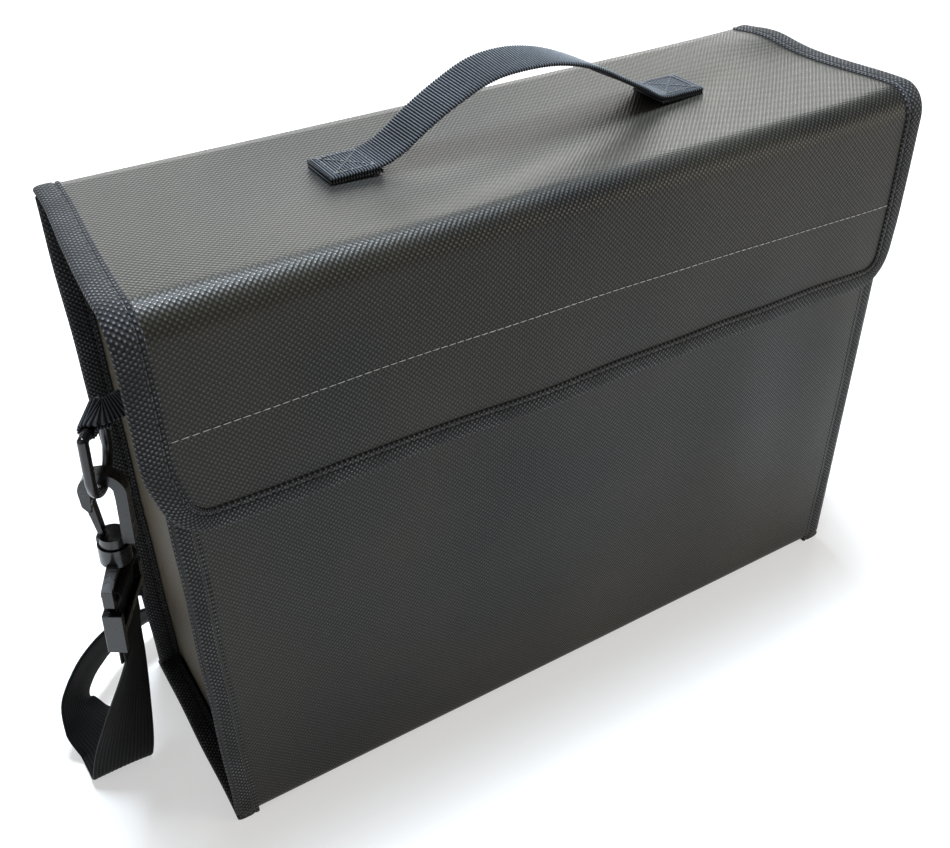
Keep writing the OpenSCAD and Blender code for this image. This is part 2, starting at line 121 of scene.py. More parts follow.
# ------------------------------------------------------------------ small maths


def ramp(t, a, b):
    """0 before a, 1 after b, smooth between."""
    s = np.clip((t - a) / (b - a), 0, 1)
    return s * s * (3 - 2 * s)


def bell(t, a, b):
    """0 outside a to b, a half sine wave inside."""
    return np.sin(np.pi * np.clip((t - a) / (b - a), 0, 1))


def unit(v):
    return v / np.maximum(np.linalg.norm(v, axis=-1, keepdims=True), 1e-12)


def smooth_route(points, steps):
    """A Catmull-Rom curve through rows of numbers, the same one that the CAD strap follows."""
    p = np.array(points, float)
    p = np.vstack([p[:1], p, p[-1:]])
    t = np.linspace(0, 1, steps, endpoint=False)[:, None]
    parts = []
    for i in range(1, len(p) - 2):
        a, b, c, d = p[i - 1 : i + 3]
        parts.append(
            0.5 * (2 * b + (c - a) * t + (2 * a - 5 * b + 4 * c - d) * t**2
                   + (3 * b - a - 3 * c + d) * t**3)
        )
    return np.vstack(parts + [p[-1:]])


def along(points):
    """Distance along a line of points, from its start."""
    steps = np.linalg.norm(np.diff(points, axis=0), axis=1)
    return np.concatenate([[0], np.cumsum(steps)])


def flare(p):
    """The lid and flap stand a little wider than the body round their bend on the left."""
    q = np.array(p, float)
    x, y, z = p[..., 0], p[..., 1], p[..., 2]
    front = ramp(-y, -BACK_Y, 0.05) * ramp(z, FLAP_Z + 2 * MM, FLAP_Z + 40 * MM)
    wide = np.where(x < 0, 6.5, 2.0) * front * np.abs(x / SEAM_X) ** 3
    q[..., 0] += np.sign(x) * wide * MM
    return q


def settle(p):
    """How the cloth sags and bulges. Every sewn piece is moved by it, so seams stay together."""
    q = np.array(p, float)
    x, y, z = p[..., 0], p[..., 1], p[..., 2]
    lid = ramp(z, TOP_Z - 14 * MM, TOP_Z - 4 * MM)
    inside = bell(x, -SEAM_X, SEAM_X) ** 0.6 * bell(y, FLAP_Y, BACK_Y + 4 * MM)
    wave = 0.8 * np.sin(x / 0.031 + 0.8) + 0.6 * np.sin(x / 0.019 - y / 0.03)
    crease = y + 0.040 - 0.28 * (x + 0.06)
    valley = 1.6 * np.exp(-(((x - 0.02) / 0.10) ** 2))
    valley = valley + 2.2 * np.exp(-((crease / 0.015) ** 2)) * bell(x, -0.13, 0.16)
    q[..., 2] += lid * inside * (-3.0 - valley + 0.6 * wave) * MM
    edge = np.exp(-((np.abs(x - SEAM_X) / 0.03) ** 2))
    rise = 3 * np.exp(-(((y - 0.040) / 0.018) ** 2)) + 1.5 * np.exp(-(((y + 0.05) / 0.03) ** 2))
    q[..., 2] += lid * edge * rise * MM

    front = ramp(-y, -FRONT_Y - 9 * MM, -FRONT_Y - 4 * MM) * bell(z, 0, TOP_Z - 6 * MM)
    swell = 1.6 + 0.9 * np.sin(x / 0.034 + 2.1) + 0.7 * np.sin(x / 0.017 + z / 0.06)
    right = np.exp(-(((x - 0.13) / 0.06) ** 2)) * np.sin((x - 0.09) / 0.0145)
    q[..., 1] -= front * bell(x, -SEAM_X, SEAM_X) ** 0.5 * (swell + 1.1 * right) * MM

    back = ramp(y, BACK_Y - 9 * MM, BACK_Y - 4 * MM) * bell(z, 0, TOP_Z - 8 * MM)
    q[..., 1] += back * bell(x, -SEAM_X, SEAM_X) * (2.5 + 0.8 * np.sin(x / 0.04)) * MM

    side = ramp(-np.abs(x), -SEAM_X - 3 * MM, -WALL_X - 3 * MM)
    side = side * ramp(np.abs(x), WALL_X - 8 * MM, WALL_X - 4 * MM)
    pull = bell(y, FRONT_Y + 2 * MM, BACK_Y - 2 * MM) * bell(z, 2 * MM, SIDE_TOP)
    q[..., 0] -= np.sign(x) * side * pull * (6 + 1.2 * np.sin(z / 0.03)) * MM
    return q


def lid_shape(p):
    return settle(flare(p))


# ------------------------------------------------------------------ mesh builders


def new_piece(name, verts, faces, uvs, material, smooth=True):
    """A mesh object from points, faces and one uv for each face corner, in metres."""
    mesh = bpy.data.meshes.new(name)
    mesh.from_pydata([tuple(v) for v in verts], [], [tuple(f) for f in faces])
    layer = mesh.uv_layers.new(name="cloth")
    layer.data.foreach_set("uv", np.asarray(uvs, np.float32).ravel())
    mesh.polygons.foreach_set("use_smooth", [smooth] * len(mesh.polygons))
    mesh.materials.append(material)
    mesh.update()
    piece = bpy.data.objects.new(name, mesh)
    bpy.context.collection.objects.link(piece)
    return piece


def grid_faces(rows, cols, start=0, flip=False, wrap=False):
    """Quads of a grid of points; wrap joins its last column to its first."""
    i, j = np.meshgrid(np.arange(rows - 1), np.arange(cols if wrap else cols - 1), indexing="ij")
    i, j = i.ravel(), j.ravel()
    k = (j + 1) % cols
    quads = np.stack([i * cols + j, i * cols + k, (i + 1) * cols + k, (i + 1) * cols + j], 1)
    return (quads[:, ::-1] if flip else quads) + start


def sheet(name, grid, thick, material, uv=None, shape=settle):
    """A sheet of cloth with real thickness, from a grid of points on its middle surface."""
    grid = shape(np.array(grid, float))
    rows, cols = grid.shape[:2]
    du = np.gradient(grid, axis=1)
    dv = np.gradient(grid, axis=0)
    normal = unit(np.cross(du, dv))
    if uv is None:
        u = np.concatenate([[0], np.cumsum(np.linalg.norm(np.diff(grid[rows // 2], axis=0), axis=1))])
        v = np.concatenate([[0], np.cumsum(np.linalg.norm(np.diff(grid[:, cols // 2], axis=0), axis=1))])
        uv = np.stack(np.broadcast_arrays(u[None, :], v[:, None]), -1)
    top = (grid + normal * thick / 2).reshape(-1, 3)
    low = (grid - normal * thick / 2).reshape(-1, 3)
    count = rows * cols
    ring = np.concatenate([
        np.arange(cols), np.arange(1, rows) * cols + cols - 1,
        (rows - 1) * cols + np.arange(cols - 2, -1, -1), np.arange(rows - 2, 0, -1) * cols,
    ])
    after = np.roll(ring, -1)
    rim = np.stack([ring, ring + count, after + count, after], 1)
    faces = np.vstack([grid_faces(rows, cols), grid_faces(rows, cols, count, flip=True), rim])
    flat = np.vstack([uv.reshape(-1, 2)] * 2)
    return new_piece(name, np.vstack([top, low]), faces, flat[faces.ravel()], material)


def sweep(name, centres, sides, ups, outline, material, scale=None, shape=None, caps=True):
    """A closed outline of (across, up) points carried along a line of centres."""
    outline = np.array(outline, float)
    n, m = len(centres), len(outline)
    ring = np.repeat(outline[None], n, 0)
    if scale is not None:
        ring = ring * scale[:, None, :]
    verts = centres[:, None] + ring[..., :1] * sides[:, None] + ring[..., 1:] * ups[:, None]
    if shape:
        verts = shape(verts)
    v = along(centres)
    u = along(np.vstack([outline, outline[:1]]))
    faces = grid_faces(n, m, wrap=True)
    i, j = np.meshgrid(np.arange(n - 1), np.arange(m), indexing="ij")
    i, j = i.ravel(), j.ravel()
    uvs = np.stack([np.stack([u[j], v[i]], 1), np.stack([u[j + 1], v[i]], 1),
                    np.stack([u[j + 1], v[i + 1]], 1), np.stack([u[j], v[i + 1]], 1)], 1)
    faces = [tuple(f) for f in faces]
    uvs = uvs.reshape(-1, 2)
    if caps:
        faces += [tuple(range(m - 1, -1, -1)), tuple(range((n - 1) * m, n * m))]
        uvs = np.vstack([uvs, outline[::-1], outline])
    return new_piece(name, verts.reshape(-1, 3), faces, uvs, material)


def frames(centres, across):
    """Side and up directions of a band that runs along centres."""
    run = unit(np.gradient(centres, axis=0))
    side = unit(across - run * np.sum(across * run, axis=1, keepdims=True))
    return side, np.cross(run, side)


def band_outline(width, thick, ribs=0, rib=0.0):
    """Flat section of webbing, with lengthwise ribs on both faces."""
    n = max(8, ribs * 4)
    a = np.linspace(-width / 2 + thick / 2, width / 2 - thick / 2, n + 1)
    lift = rib * (0.5 - 0.5 * np.cos(2 * np.pi * ribs * np.linspace(0, 1, n + 1))) if ribs else 0 * a
    top = np.stack([a[::-1], (thick / 2 + lift)[::-1]], 1)
    low = np.stack([a, -thick / 2 - lift], 1)
    end = thick / 2 * 0.85
    left = np.array([[-width / 2 + 0.1 * thick, end * 0.5], [-width / 2 + 0.1 * thick, -end * 0.5]])
    right = -left
    return np.vstack([low, right, top, left])


def stitches(name, spots, runs, normals, material, size=2.8 * MM, thick=0.42 * MM, shape=settle):
    """Small raised stitches at the given spots, each lying along its run direction."""
    t = np.array([-1, -0.75, 0, 0.75, 1])
    swell = np.array([0.25, 0.8, 1, 0.8, 0.25])
    around = np.linspace(0, 2 * np.pi, 6, endpoint=False)
    spots = shape(np.array(spots)) if shape else np.array(spots)
    runs, normals = unit(np.array(runs)), unit(np.array(normals))
    sides = np.cross(normals, runs)
    verts = (
        spots[:, None, None]
        + runs[:, None, None] * (t * size / 2)[None, :, None, None]
        + sides[:, None, None] * (swell[:, None] * np.cos(around) * thick)[None, ..., None]
        + normals[:, None, None] * (swell[:, None] * np.sin(around) * thick * 0.9)[None, ..., None]
    )
    each = grid_faces(len(t), 6, wrap=True)
    block = len(t) * 6
    quads = np.vstack([each + block * i for i in range(len(spots))])
    caps = [tuple(range(block * i + 5, block * i - 1, -1)) for i in range(len(spots))]
    caps += [tuple(range(block * i + block - 6, block * i + block)) for i in range(len(spots))]
    faces = [tuple(f) for f in quads] + caps
    uvs = np.zeros((4 * len(quads) + 6 * len(caps), 2))
    return new_piece(name, verts.reshape(-1, 3), faces, uvs, material)


def stitch_line(points, normal, pitch=4.2 * MM):
    """Spots, run directions and normals of a row of stitches along a line of points."""
    points = np.array(points, float)
    far = along(points)
    at = np.arange(pitch / 2, far[-1], pitch)
    spots = np.stack([np.interp(at, far, points[:, k]) for k in range(3)], 1)
    run = unit(np.gradient(points, axis=0))
    runs = np.stack([np.interp(at, far, run[:, k]) for k in range(3)], 1)
    normal = np.broadcast_to(np.array(normal, float), points.shape)
    normals = np.stack([np.interp(at, far, normal[:, k]) for k in range(3)], 1)
    return spots, runs, normals


def joined(parts):
    """Several rows of stitches as one."""
    return (np.vstack(k) for k in zip(*parts))


# ------------------------------------------------------------------ materials


class Nodes:
    """A short way to write shader nodes."""

    def __init__(self, name):
        self.material = bpy.data.materials.new(name)
        self.material.use_nodes = True
        self.tree = self.material.node_tree
        self.shader = self.tree.nodes["Principled BSDF"]

    def add(self, kind, **settings):
        node = self.tree.nodes.new(kind)
        for key, value in settings.items():
            setattr(node, key, value)
        return node

    def put(self, socket, value):
        if isinstance(value, bpy.types.NodeSocket):
            self.tree.links.new(value, socket)
        else:
            socket.default_value = value

    def math(self, how, a, b=0.0, c=0.0):
        node = self.add("ShaderNodeMath", operation=how)
        for socket, value in zip(node.inputs, (a, b, c)):
            self.put(socket, value)
        return node.outputs[0]

    def uv(self):
        node = self.add("ShaderNodeSeparateXYZ")
        self.put(node.inputs[0], self.add("ShaderNodeUVMap", uv_map="cloth").outputs[0])
        return node.outputs[0], node.outputs[1]

    def place(self):
        return self.add("ShaderNodeTexCoord").outputs["Object"]

    def noise(self, scale, detail=3.0, where=None, rough=0.5):
        node = self.add("ShaderNodeTexNoise")
        self.put(node.inputs["Vector"], where or self.place())
        node.inputs["Scale"].default_value = scale
        node.inputs["Detail"].default_value = detail
        node.inputs["Roughness"].default_value = rough
        return node.outputs["Fac"]

    def mix(self, share, a, b):
        node = self.add("ShaderNodeMix", data_type="RGBA")
        self.put(node.inputs[0], share)
        self.put(node.inputs[6], a)
        self.put(node.inputs[7], b)
        return node.outputs[2]

    def fit(self, value, a, b, c, d):
        node = self.add("ShaderNodeMapRange")
        for socket, v in zip(node.inputs, (value, a, b, c, d)):
            self.put(socket, v)
        return node.outputs[0]

    def bump(self, height, strength, distance):
        node = self.add("ShaderNodeBump")
        node.inputs["Strength"].default_value = strength
        node.inputs["Distance"].default_value = distance
        self.put(node.inputs["Height"], height)
        self.put(self.shader.inputs["Normal"], node.outputs[0])

    def weave(self, across, lengthwise):
        """Plain weave, from -1 where a cross yarn is on top to 1 where a long yarn is."""
        u, v = self.uv()
        a = self.math("SINE", self.math("MULTIPLY", u, math.pi / across))
        b = self.math("SINE", self.math("MULTIPLY", v, math.pi / lengthwise))
        return self.math("MULTIPLY", a, b)


def rgb(r, g, b):
    return (r, g, b, 1.0)


def coated_cloth(name, dark, crown_and_glint_colour, tint, rough, pitch=1.25 * MM):
    """Coated glass-fibre cloth: dark yarns with a paler crown where the long yarns come up; that crown
    colour is partly the yarn's own tone and partly a painted glint.
    """
    m = Nodes(name)
    weave = m.weave(pitch, pitch)
    crown = m.math("POWER", m.math("MAXIMUM", weave, 0.0), 1.8)
    patches = m.noise(9.0, 4.0)
    fibre = m.noise(900.0, 2.0)
    base = m.mix(m.fit(patches, 0.35, 0.7, 0.0, 1.0), dark, tint)
    share = m.math("MULTIPLY", crown, m.fit(fibre, 0.3, 0.7, 0.5, 1.0))
    # painted glint: the paler crown colour is partly yarn tone and partly stands in for the glints on the
    # weave's crowns
    m.put(m.shader.inputs["Base Color"], m.mix(share, base, crown_and_glint_colour))
    m.put(m.shader.inputs["Roughness"], m.fit(crown, 0.0, 0.7, rough + 0.16, rough - 0.08))
    m.bump(m.math("ADD", weave, m.math("MULTIPLY", fibre, 0.5)), 0.8, 0.11 * MM)
    m.shader.inputs["Specular IOR Level"].default_value = 0.2
    m.shader.inputs["Sheen Weight"].default_value = 0.02
    m.shader.inputs["Sheen Roughness"].default_value = 0.4
    return m.material


def lining_cloth():
    m = Nodes("lining_cloth")
    weave = m.weave(1.1 * MM, 1.1 * MM)
    patches = m.noise(14.0)
    base = m.mix(patches, rgb(0.16, 0.165, 0.16), rgb(0.23, 0.235, 0.225))
    crown = m.math("MAXIMUM", weave, 0.0)
    m.put(m.shader.inputs["Base Color"], m.mix(crown, base, rgb(0.34, 0.345, 0.33)))
    m.shader.inputs["Roughness"].default_value = 0.75
    m.bump(weave, 0.5, 0.2 * MM)
    return m.material


def binding_tape():
    """Binding tape: an open weave of black yarn with pale crowns in rows along the tape."""
    m = Nodes("binding_tape")
    weave = m.weave(1.35 * MM, 1.25 * MM)
    crown = m.math("POWER", m.math("MAXIMUM", weave, 0.0), 2.2)
    worn = m.noise(60.0, 3.0)
    fibre = m.noise(1400.0, 2.0)
    pale = m.mix(m.fit(worn, 0.35, 0.65, 0.0, 1.0), rgb(0.06, 0.063, 0.07), rgb(0.19, 0.197, 0.215))
    share = m.math("MULTIPLY", crown, m.fit(fibre, 0.3, 0.7, 0.4, 1.0))
    m.put(m.shader.inputs["Base Color"], m.mix(share, rgb(0.002, 0.002, 0.0025), pale))
    m.put(m.shader.inputs["Roughness"], m.fit(crown, 0.0, 1.0, 0.8, 0.42))
    m.bump(m.math("ADD", weave, m.math("MULTIPLY", fibre, 0.4)), 0.8, 0.35 * MM)
    m.shader.inputs["Specular IOR Level"].default_value = 0.3
    m.shader.inputs["Sheen Weight"].default_value = 0.04
    return m.material


def webbing(name, groove, rib, pitch, lengthwise=False, shine=0.5):
    """Ribbed webbing: dark grooves, paler ribs and the fine yarn that crosses them; the ribs' paler, bluish
    colour is partly the yarn's own tone and partly a painted highlight.
    """
    m = Nodes(name)
    u, v = m.uv()
    a, b = (u, v) if lengthwise else (v, u)
    ribs = m.math("COSINE", m.math("MULTIPLY", a, 2 * math.pi / pitch))
    yarn = m.math("SINE", m.math("MULTIPLY", b, 2 * math.pi / (0.7 * MM)))
    fibre = m.noise(1600.0, 2.0)
    worn = m.noise(35.0, 4.0)
    # painted highlight: the rib tops are made paler, partly as yarn tone and partly standing in for the
    # light the ribs catch
    top = m.math("MULTIPLY", m.fit(ribs, -0.3, 0.9, 0.0, 1.0), m.fit(fibre, 0.25, 0.7, 0.45, 1.0))
    pale = m.mix(m.fit(worn, 0.35, 0.7, 0.0, 1.0), rib, rgb(*(c * 1.5 for c in rib[:3])))
    m.put(m.shader.inputs["Base Color"], m.mix(top, groove, pale))
    m.put(m.shader.inputs["Roughness"], m.fit(top, 0.0, 1.0, 0.8, shine))
    height = m.math("ADD", m.math("MULTIPLY", ribs, 0.5), m.math("MULTIPLY", yarn, 0.35))
    m.bump(m.math("ADD", height, m.math("MULTIPLY", fibre, 0.3)), 0.6, 0.22 * MM)
    m.shader.inputs["Specular IOR Level"].default_value = 0.2
    m.shader.inputs["Sheen Weight"].default_value = 0.02
    return m.material


def hook_and_loop(name, scale, colour):
    m = Nodes(name)
    cells = m.add("ShaderNodeTexVoronoi")
    m.put(cells.inputs["Vector"], m.place())
    cells.inputs["Scale"].default_value = scale
    fuzz = m.noise(scale * 1.7, 4.0)
    dark = rgb(*(c * 0.4 for c in colour[:3]))
    m.put(m.shader.inputs["Base Color"], m.mix(m.fit(fuzz, 0.3, 0.7, 0.0, 1.0), dark, colour))
    m.shader.inputs["Roughness"].default_value = 0.85
    m.shader.inputs["Sheen Weight"].default_value = 0.5
    m.bump(m.math("ADD", cells.outputs["Distance"], fuzz), 0.7, 0.3 * MM)
    return m.material


def thread(name, colour):
    m = Nodes(name)
    twist = m.noise(2600.0, 2.0)
    dark = rgb(*(c * 0.55 for c in colour[:3]))
    m.put(m.shader.inputs["Base Color"], m.mix(m.fit(twist, 0.35, 0.65, 0.0, 1.0), dark, colour))
    m.shader.inputs["Roughness"].default_value = 0.5
    m.bump(twist, 0.4, 0.1 * MM)
    return m.material


def moulded_plastic():
    """Black moulded plastic: a faint orange-peel skin, scuffs and slightly worn high spots."""
    m = Nodes("moulded_plastic")
    skin = m.noise(420.0, 3.0)
    scuff = m.noise(130.0, 6.0, rough=0.7)
    edge = m.add("ShaderNodeNewGeometry").outputs["Pointiness"]
    worn = m.math("MULTIPLY", m.fit(edge, 0.52, 0.62, 0.0, 1.0), m.fit(scuff, 0.4, 0.6, 0.2, 1.0))
    m.put(m.shader.inputs["Base Color"], m.mix(worn, rgb(0.005, 0.005, 0.006), rgb(0.03, 0.03, 0.033)))
    m.put(m.shader.inputs["Roughness"], m.fit(scuff, 0.3, 0.7, 0.16, 0.34))
    m.bump(skin, 0.12, 0.15 * MM)
    return m.material


# the third colour of each cloth is its crown colour: partly yarn tone, partly painted glint
CLOTH = coated_cloth("coated_cloth", rgb(0.0018, 0.0018, 0.0018), rgb(0.078, 0.077, 0.070),
                     rgb(0.012, 0.0105, 0.0065), 0.31)
SIDE_CLOTH = coated_cloth("side_cloth", rgb(0.085, 0.072, 0.052), rgb(0.17, 0.15, 0.115),
                          rgb(0.11, 0.092, 0.066), 0.5, 0.8 * MM)
LINING = lining_cloth()
TAPE = binding_tape()
# the handle's paler, bluish rib colour is partly a painted highlight
HANDLE_WEB = webbing("handle_webbing", rgb(0.003, 0.003, 0.004), rgb(0.085, 0.095, 0.108), RIB)
STRAP_WEB = webbing("strap_webbing", rgb(0.001, 0.001, 0.001), rgb(0.004, 0.004, 0.0045),
                    2.0 * MM, lengthwise=True, shine=0.55)
LOOP_PILE = hook_and_loop("loop_pile", 900.0, rgb(0.035, 0.035, 0.037))
HOOK_PILE = hook_and_loop("hook_pile", 800.0, rgb(0.028, 0.028, 0.030))
PALE_THREAD = thread("pale_thread", rgb(0.62, 0.63, 0.64))
DARK_THREAD = thread("dark_thread", rgb(0.035, 0.036, 0.040))
PLASTIC = moulded_plastic()

# ------------------------------------------------------------------ moulded hardware

HARDWARE = (
    ("strap_slider", "slider", 0.45), ("swivel_base", "swivel", 0.4), ("snap_hook", "hook", 0.6),
    ("hook_gate", "gate", 0.3), ("d_ring", "ring", 0.2),
)


def rounded_copy(node, body, width, segments=3):
    """A CAD piece of moulded plastic with its sharp edges rounded over."""
    source = frame["nodes"][node]
    mesh = source.data.copy()
    name = node + "_moulded"
    mesh.name = name
    grid = bmesh.new()
    grid.from_mesh(mesh)
    bmesh.ops.remove_doubles(grid, verts=grid.verts, dist=0.01 * MM)
    bmesh.ops.dissolve_limit(grid, angle_limit=math.radians(4), verts=grid.verts, edges=grid.edges)
    sharp = [e for e in grid.edges if len(e.link_faces) == 2 and e.calc_face_angle(0) > math.radians(35)]
    bmesh.ops.bevel(grid, geom=sharp, offset=width, offset_type="OFFSET", segments=segments,
                    profile=0.6, affect="EDGES", clamp_overlap=True)
    bmesh.ops.triangulate(grid, faces=[f for f in grid.faces if len(f.verts) > 4])
    grid.to_mesh(mesh)
    grid.free()
    mesh.materials.clear()
    mesh.materials.append(PLASTIC)
    mesh.polygons.foreach_set("use_smooth", [True] * len(mesh.polygons))
    piece = bpy.data.objects.new(name, mesh)
    bpy.context.collection.objects.link(piece)
    weighted = piece.modifiers.new("weighted", "WEIGHTED_NORMAL")
    weighted.weight = 80
    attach(piece, body)
    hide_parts(node)
    return piece


def make_hardware(side):
    """The five moulded pieces of one strap end, which the strap runs through."""
    pieces = []
    for kind, body, width in HARDWARE:
        pieces.append(rounded_copy(f"{side}_{kind}", f"{side}_{body}", width * MM))
    return pieces


# ------------------------------------------------------------------ shoulder strap

LEFT_ROUTE = [
    (-221, 2.5, 85.5, -0.5, -0.87, 0), (-227, 3.5, 60, -0.75, -0.66, 0),
    (-234, 2, 36, -0.92, -0.38, 0), (-240.5, 0, 14, -1, -0.05, 0),
    (-243, 2.5, 4, -1, 0, 0), (-243.5, 12, 1.5, -1, 0, 0),
    (-245, 24, 3.5, -0.96, -0.25, 0.05), (-251, 35, 12, -0.78, -0.55, 0.3),
    (-252, 43, 22, -0.5, -0.6, 0.6), (-243, 52, 30, -0.3, -0.5, 0.8),
    (-229, 62, 33, -0.15, -0.45, 0.88), (-213, 72, 30, -0.05, -0.5, 0.86),
    (-190, 82, 25, 0, -0.6, 0.8), (-150, 98, 20, 0.05, -0.5, 0.86),
    (-100, 120, 18, 0.05, -0.3, 0.95), (-50, 136, 17.5, 0.03, -0.2, 0.98),
    (0, 142, 17.5, 0, -0.15, 0.99),
]

# The hanging hardware's own frame on the left: Y along the ring's bar, X towards the bag
HANG_AT = np.array(JOINTS["left_ring_swing"]["pos_m"])
HANG_Y = unit(np.array(JOINTS["left_ring_swing"]["axis"]))
HANG_Z = unit(np.array(JOINTS["left_hook_turn"]["axis"]))
HANG_X = np.cross(HANG_Y, HANG_Z)
BAR_DROP = 88.5 * MM
JOIN_DROP = 109 * MM
DOUBLE_END = 133.5 * MM
STRAP_STEPS = 10


def hang(x, y, z):
    """A point of the hardware's frame, in metres, as a point of the bag's frame."""
    return HANG_AT + HANG_X * x + HANG_Y * y + HANG_Z * z


def mirrored(points, side):
    points = np.array(points, float)
    if side == "right":
        points[..., 0] *= -1
    return points


def strap_half(side):
    """Half of the free strap, from inside the slider to the middle behind the bag."""
    drops = (JOIN_DROP, JOIN_DROP + 11 * MM, JOIN_DROP + 19 * MM)
    top = [(*hang(0.95 * MM, 0, -z) / MM, *-HANG_Y) for z in drops]
    curve = smooth_route(top + LEFT_ROUTE, STRAP_STEPS)
    centres = mirrored(curve[:, :3] * MM, side)
    across = mirrored(unit(curve[:, 3:]), side)
    sides, ups = frames(centres, across)
    outline = band_outline(STRAP_W, STRAP_T - 0.4 * MM, ribs=14, rib=0.2 * MM)
    if side == "right":
        outline = outline[::-1]
    strap = sweep(f"{side}_strap", centres, sides, ups, outline, STRAP_WEB)
    length = float(along(centres)[-1])
    return strap, centres, length


def strap_fold(side):
    """The strap's end: up the outside, round the swivel's bar and down to the slider."""
    r = 4.15 * MM
    x = 0.95 * MM
    turn = np.linspace(200, -20, 14)
    rows = [(-x, -DOUBLE_END), (-x, -BAR_DROP - 33.5 * MM), (-x, -BAR_DROP - 21.5 * MM),
            (-x, -BAR_DROP - 13.5 * MM), (-1.6 * MM, -BAR_DROP - 7 * MM)]
    rows += [(r * math.cos(math.radians(t)), -BAR_DROP + r * math.sin(math.radians(t))) for t in turn]
    rows += [(1.6 * MM, -BAR_DROP - 7 * MM), (x, -BAR_DROP - 13.5 * MM), (x, -JOIN_DROP)]
    curve = smooth_route(rows, 5)
    centres = mirrored(np.array([hang(a, 0, b) for a, b in curve]), side)
    across = np.broadcast_to(mirrored(-HANG_Y, side), centres.shape)
    sides, ups = frames(centres, across)
    outline = band_outline(STRAP_W, STRAP_T - 0.5 * MM, ribs=14, rib=0.18 * MM)
    if side == "right":
        outline = outline[::-1]
    fold = sweep(f"{side}_strap_fold", centres, sides, ups, outline, STRAP_WEB)
    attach(fold, f"{side}_swivel")
    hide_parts(f"{side}_strap_end")
    return fold


def make_strap():
    for side in ("left", "right"):
        moulded = make_hardware(side)
        strap, centres, length = strap_half(side)
        fold = strap_fold(side)
        if side == "left":
            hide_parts("shoulder_strap")
        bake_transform(strap)


make_strap()

# ------------------------------------------------------------------ cloth of the bag


def line(points, step=4 * MM):
    """A line through points, resampled at about one step, corners kept."""
    out = []
    for a, b in zip(points, points[1:]):
        a, b = np.array(a, float), np.array(b, float)
        n = max(1, int(round(np.linalg.norm(b - a) / step)))
        out += [a + (b - a) * i / n for i in range(n)]
    return np.array(out + [np.array(points[-1], float)])


def arc(centre, r, a0, a1, n=8):
    """Points on an arc in the depth-height plane, angles in degrees."""
    t = np.radians(np.linspace(a0, a1, n))
    return [(centre[0] + r * math.cos(k), centre[1] + r * math.sin(k)) for k in t]


def carried(profile, half_widths, cols):
    """A grid of points: a depth-height profile carried across the bag's width."""
    profile = np.array(profile)
    half = np.broadcast_to(np.asarray(half_widths, float), (len(profile),))
    s = np.linspace(-1, 1, cols)
    x = half[:, None] * s[None]
    y = np.broadcast_to(profile[:, :1], x.shape)
    z = np.broadcast_to(profile[:, 1:], x.shape)
    return np.stack([x, y, z], -1)


def uv_of(grid):
    """Cloth coordinates in metres: true width across, distance along the profile lengthwise."""
    middle = grid.shape[1] // 2
    v = along(grid[:, middle])
    return np.stack([grid[..., 0], np.broadcast_to(v[:, None], grid.shape[:2])], -1)


def wrap_profile(inset, top_front, over_lid):
    """Front, bottom and back in one line, inset from the cloth's outer face."""
    r = 7 * MM - inset
    f, b = FRONT_Y + inset, BACK_Y - inset
    points = [(f, top_front), (f, 7 * MM)]
    points += arc((f + r, inset + r), r, 180, 270)[1:]
    points += arc((b - r, inset + r), r, 270, 360)
    points += [(b, TOP_Z - 5 * MM)] if over_lid else [(b, TOP_Z - 4 * MM)]
    if over_lid:
        points += arc((b - 4 * MM, TOP_Z - 5 * MM), 4 * MM, 0, 90, 6)[1:]
        points += [(b - 11 * MM, TOP_Z - 1 * MM)]
    return line(points)


def lid_profile(inset):
    """Lid, soft bend and flap in one line, inset from the cloth's outer face."""
    r = BEND_R - inset
    points = [(BACK_Y - 1.5 * MM, TOP_Z - inset), (BEND_Y, TOP_Z - inset)]
    points += arc((BEND_Y, BEND_Z), r, 90, 180, 12)[1:]
    points += [(FLAP_Y + inset, FLAP_Z + CORNER_R)]
    lower = line([(FLAP_Y + inset, FLAP_Z + CORNER_R), (FLAP_Y + inset, FLAP_Z + 0.3 * MM)], 1.5 * MM)
    return np.vstack([line(points), lower[1:]])


def flap_half_width(profile):
    """The flap narrows round its two lower corners."""
    drop = np.clip(FLAP_Z + CORNER_R - profile[:, 1], 0, CORNER_R)
    return SEAM_X - CORNER_R + np.sqrt(np.maximum(CORNER_R**2 - drop**2, 0))


def cloth_sheet(name, profile, half, thick, material, body, nodes, shape=settle):
    grid = carried(profile, half, 120)
    piece = sheet(name, grid, thick, material, uv=uv_of(grid), shape=shape)
    if body:
        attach(piece, body)
    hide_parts(*nodes)
    return piece


def make_wrap():
    outer = cloth_sheet("wrap_cloth", wrap_profile(CLOTH_T / 2, FRONT_TOP - TAPE_T, True),
                        SEAM_X - 0.3 * MM, CLOTH_T, CLOTH, None,
                        ["front_panel", "bottom_panel", "back_panel"])
    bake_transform(outer)
    cloth_sheet("wrap_lining", wrap_profile(CLOTH_T + LINING_T / 2 + 0.1 * MM, FRONT_TOP - TAPE_T, False),
                WALL_X - 3.2 * MM, LINING_T, LINING, "bag",
                ["front_lining", "bottom_lining", "back_lining"])


def make_lid_and_flap():
    profile = lid_profile(CLOTH_T / 2)
    cloth = cloth_sheet("lid_cloth", profile, flap_half_width(profile), CLOTH_T, CLOTH,
                        None, ["lid_panel", "flap_panel"], shape=lid_shape)
    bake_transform(cloth)
    profile = lid_profile(CLOTH_T + LINING_T / 2 + 0.05 * MM)
    lining = cloth_sheet("lid_inner_lining", profile, flap_half_width(profile), LINING_T, LINING,
                         None, ["lid_lining", "flap_lining"], shape=lid_shape)
    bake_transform(lining)


